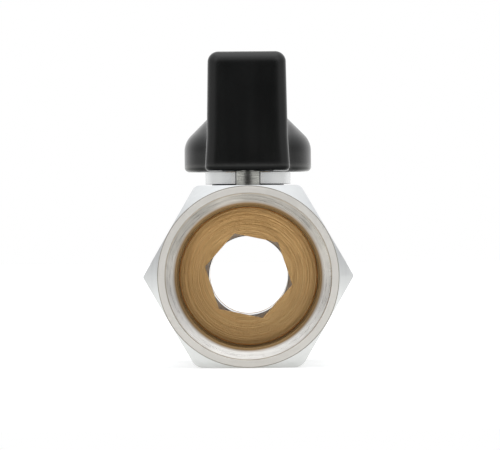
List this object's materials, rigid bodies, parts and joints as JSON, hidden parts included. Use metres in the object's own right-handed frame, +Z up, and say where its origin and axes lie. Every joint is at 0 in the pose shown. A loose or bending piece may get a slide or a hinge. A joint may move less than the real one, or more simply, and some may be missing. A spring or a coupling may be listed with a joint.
{
  "type": "mini ball valve",
  "caption": "Quarter-turn mini ball valve with a hexagon body, female pipe threads at both ends and a black moulded lever.",
  "frame": {"origin": "under the stem, at the middle of the valve's length, on the hexagon flat that the valve rests on", "axes": "+Z up along the stem, +Y along the pipe axis from the retainer end to the rear end, +X to the right when looking into the retainer end; the open lever points to -Y"},
  "size_m": [0.0276, 0.048, 0.0416],
  "materials": {
    "nickel_plated_brass": "satin nickel plating over forged and turned brass",
    "bare_brass": "turned, dull",
    "chromed_ball": "polished chrome plating over brass",
    "seat_plastic": "smooth white",
    "seal_rubber": "matte",
    "pin_steel": "turned",
    "zinc_plated_steel": "bright zinc plating",
    "handle_plastic": "semi-gloss black moulding"
  },
  "bodies": {
    "valve_body": {"body": "nickel_plated_brass", "retainer": "bare_brass", "seat_front": "seat_plastic", "seat_rear": "seat_plastic", "thrust_washer": "seat_plastic", "stop_pin": "pin_steel"},
    "lever": {"handle": "handle_plastic", "handle_insert": "bare_brass", "stem": "bare_brass", "stem_o_ring_lower": "seal_rubber", "stem_o_ring_upper": "seal_rubber", "screw_washer": "zinc_plated_steel", "spring_washer": "zinc_plated_steel", "handle_screw": "zinc_plated_steel"},
    "closing_ball": {"ball": "chromed_ball"}
  },
  "joints": [
    {"name": "handle_turn", "type": "hinge", "parent": "valve_body", "child": "lever", "pos_m": [0, 0, 0.026], "axis": [0, 0, 1], "range_deg": [-90, 0]},
    {"name": "ball_turn", "type": "hinge", "parent": "valve_body", "child": "closing_ball", "pos_m": [0, 0, 0.012], "axis": [0, 0, 1], "range_deg": [-90, 0]}
  ],
  "couplings": [
    {"joint": "ball_turn", "follows": "handle_turn", "ratio": 1}
  ]
}
